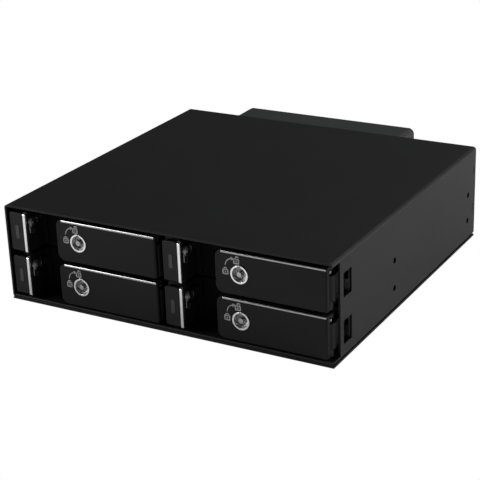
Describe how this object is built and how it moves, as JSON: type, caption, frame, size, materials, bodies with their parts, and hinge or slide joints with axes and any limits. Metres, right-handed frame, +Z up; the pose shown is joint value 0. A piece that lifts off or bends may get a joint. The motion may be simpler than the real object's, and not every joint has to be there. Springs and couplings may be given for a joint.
{
  "type": "hot swap drive cage",
  "caption": "Wide-bay cage of black sheet steel with lever-locked sliding drive trays, keyed locks, a backplane and a rear fan block.",
  "frame": {"origin": "middle of the underside, at the lowest plane, halfway along the depth with the fan block", "axes": "+X to the viewer's right when facing the trays, -Y out of the front, +Z up"},
  "size_m": [0.146, 0.156, 0.0413],
  "materials": {
    "black_case": "satin powder coat",
    "print_grey": "printed mark",
    "board_green": "solder-masked board",
    "plug_black": "moulded",
    "port_black": "moulded",
    "brass_standoff": "turned",
    "zinc_screw": "zinc plated",
    "dark_screw": "blackened",
    "grey_housing": "satin",
    "fan_black": "moulded",
    "carrier_steel": "galvanised sheet",
    "bezel_black": "fine grain",
    "lever_black": "fine grain",
    "button_black": "fine grain",
    "bright_trim": "polished",
    "lock_chrome": "polished",
    "lock_steel": "turned",
    "pin_steel": "ground",
    "spring_steel": "drawn wire",
    "lens_smoke": "smoked clear"
  },
  "bodies": {
    "cage": {"outer_shell": "black_case", "bottom_plate": "black_case", "centre_divider": "black_case", "guide_rails": "black_case", "rear_panel": "black_case", "backplane_board": "board_green", "drive_receptacles": "plug_black", "data_ports": "port_black", "power_ports": "port_black", "board_standoffs": "brass_standoff", "case_screws": "zinc_screw", "fan_screws": "dark_screw", "fan_housing": "grey_housing", "fan_frames": "fan_black"},
    "fan_left": {"fan_rotor_left": "fan_black"},
    "fan_right": {"fan_rotor_right": "fan_black"},
    "upper_left_tray": {"upper_left_carrier": "carrier_steel", "upper_left_front_bezel": "bezel_black", "upper_left_bright_strip": "bright_trim", "upper_left_pins": "pin_steel", "upper_left_springs": "spring_steel"},
    "upper_left_lever": {"upper_left_lever": "lever_black", "upper_left_lever_trim": "bright_trim", "upper_left_lock_barrel": "lock_chrome"},
    "upper_left_lock": {"upper_left_lock_core": "lock_steel"},
    "upper_left_latch": {"upper_left_release_latch": "button_black", "upper_left_lamp_lens": "lens_smoke"},
    "lower_left_tray": {"lower_left_carrier": "carrier_steel", "lower_left_front_bezel": "bezel_black", "lower_left_bright_strip": "bright_trim", "lower_left_pins": "pin_steel", "lower_left_springs": "spring_steel"},
    "lower_left_lever": {"lower_left_lever": "lever_black", "lower_left_lever_trim": "bright_trim", "lower_left_lock_barrel": "lock_chrome"},
    "lower_left_lock": {"lower_left_lock_core": "lock_steel"},
    "lower_left_latch": {"lower_left_release_latch": "button_black", "lower_left_lamp_lens": "lens_smoke"},
    "upper_right_tray": {"upper_right_carrier": "carrier_steel", "upper_right_front_bezel": "bezel_black", "upper_right_bright_strip": "bright_trim", "upper_right_pins": "pin_steel", "upper_right_springs": "spring_steel"},
    "upper_right_lever": {"upper_right_lever": "lever_black", "upper_right_lever_trim": "bright_trim", "upper_right_lock_barrel": "lock_chrome"},
    "upper_right_lock": {"upper_right_lock_core": "lock_steel"},
    "upper_right_latch": {"upper_right_release_latch": "button_black", "upper_right_lamp_lens": "lens_smoke"},
    "lower_right_tray": {"lower_right_carrier": "carrier_steel", "lower_right_front_bezel": "bezel_black", "lower_right_bright_strip": "bright_trim", "lower_right_pins": "pin_steel", "lower_right_springs": "spring_steel"},
    "lower_right_lever": {"lower_right_lever": "lever_black", "lower_right_lever_trim": "bright_trim", "lower_right_lock_barrel": "lock_chrome"},
    "lower_right_lock": {"lower_right_lock_core": "lock_steel"},
    "lower_right_latch": {"lower_right_release_latch": "button_black", "lower_right_lamp_lens": "lens_smoke"}
  },
  "joints": [
    {"name": "fan_left_spin", "type": "hinge", "parent": "cage", "child": "fan_left", "pos_m": [-0.0251, 0.0718, 0.02065], "axis": [0, 1, 0], "continuous": true},
    {"name": "fan_right_spin", "type": "hinge", "parent": "cage", "child": "fan_right", "pos_m": [0.0161, 0.0718, 0.02065], "axis": [0, 1, 0], "continuous": true},
    {"name": "upper_left_slide", "type": "slide", "parent": "cage", "child": "upper_left_tray", "axis": [0, -1, 0], "range_m": [0, 0.11]},
    {"name": "upper_left_lever_swing", "type": "hinge", "parent": "upper_left_tray", "child": "upper_left_lever", "pos_m": [-0.0038, -0.0736, 0.03022], "axis": [0, 0, 1], "range_deg": [0, 60]},
    {"name": "upper_left_lock_turn", "type": "hinge", "parent": "upper_left_lever", "child": "upper_left_lock", "pos_m": [-0.0379, -0.073, 0.03022], "axis": [0, -1, 0], "range_deg": [0, 90]},
    {"name": "upper_left_button_press", "type": "hinge", "parent": "upper_left_tray", "child": "upper_left_latch", "pos_m": [-0.0674, -0.0737, 0.0344], "axis": [1, 0, 0], "range_deg": [0, 8], "stiffness_Nm_per_rad": 0.1},
    {"name": "lower_left_slide", "type": "slide", "parent": "cage", "child": "lower_left_tray", "axis": [0, -1, 0], "range_m": [0, 0.11]},
    {"name": "lower_left_lever_swing", "type": "hinge", "parent": "lower_left_tray", "child": "lower_left_lever", "pos_m": [-0.0038, -0.0736, 0.01137], "axis": [0, 0, 1], "range_deg": [0, 60]},
    {"name": "lower_left_lock_turn", "type": "hinge", "parent": "lower_left_lever", "child": "lower_left_lock", "pos_m": [-0.0379, -0.073, 0.01137], "axis": [0, -1, 0], "range_deg": [0, 90]},
    {"name": "lower_left_button_press", "type": "hinge", "parent": "lower_left_tray", "child": "lower_left_latch", "pos_m": [-0.0674, -0.0737, 0.01555], "axis": [1, 0, 0], "range_deg": [0, 8], "stiffness_Nm_per_rad": 0.1},
    {"name": "upper_right_slide", "type": "slide", "parent": "cage", "child": "upper_right_tray", "axis": [0, -1, 0], "range_m": [0, 0.11]},
    {"name": "upper_right_lever_swing", "type": "hinge", "parent": "upper_right_tray", "child": "upper_right_lever", "pos_m": [0.0687, -0.0736, 0.03022], "axis": [0, 0, 1], "range_deg": [0, 60]},
    {"name": "upper_right_lock_turn", "type": "hinge", "parent": "upper_right_lever", "child": "upper_right_lock", "pos_m": [0.0346, -0.073, 0.03022], "axis": [0, -1, 0], "range_deg": [0, 90]},
    {"name": "upper_right_button_press", "type": "hinge", "parent": "upper_right_tray", "child": "upper_right_latch", "pos_m": [0.0051, -0.0737, 0.0344], "axis": [1, 0, 0], "range_deg": [0, 8], "stiffness_Nm_per_rad": 0.1},
    {"name": "lower_right_slide", "type": "slide", "parent": "cage", "child": "lower_right_tray", "axis": [0, -1, 0], "range_m": [0, 0.11]},
    {"name": "lower_right_lever_swing", "type": "hinge", "parent": "lower_right_tray", "child": "lower_right_lever", "pos_m": [0.0687, -0.0736, 0.01137], "axis": [0, 0, 1], "range_deg": [0, 60]},
    {"name": "lower_right_lock_turn", "type": "hinge", "parent": "lower_right_lever", "child": "lower_right_lock", "pos_m": [0.0346, -0.073, 0.01137], "axis": [0, -1, 0], "range_deg": [0, 90]},
    {"name": "lower_right_button_press", "type": "hinge", "parent": "lower_right_tray", "child": "lower_right_latch", "pos_m": [0.0051, -0.0737, 0.01555], "axis": [1, 0, 0], "range_deg": [0, 8], "stiffness_Nm_per_rad": 0.1}
  ]
}
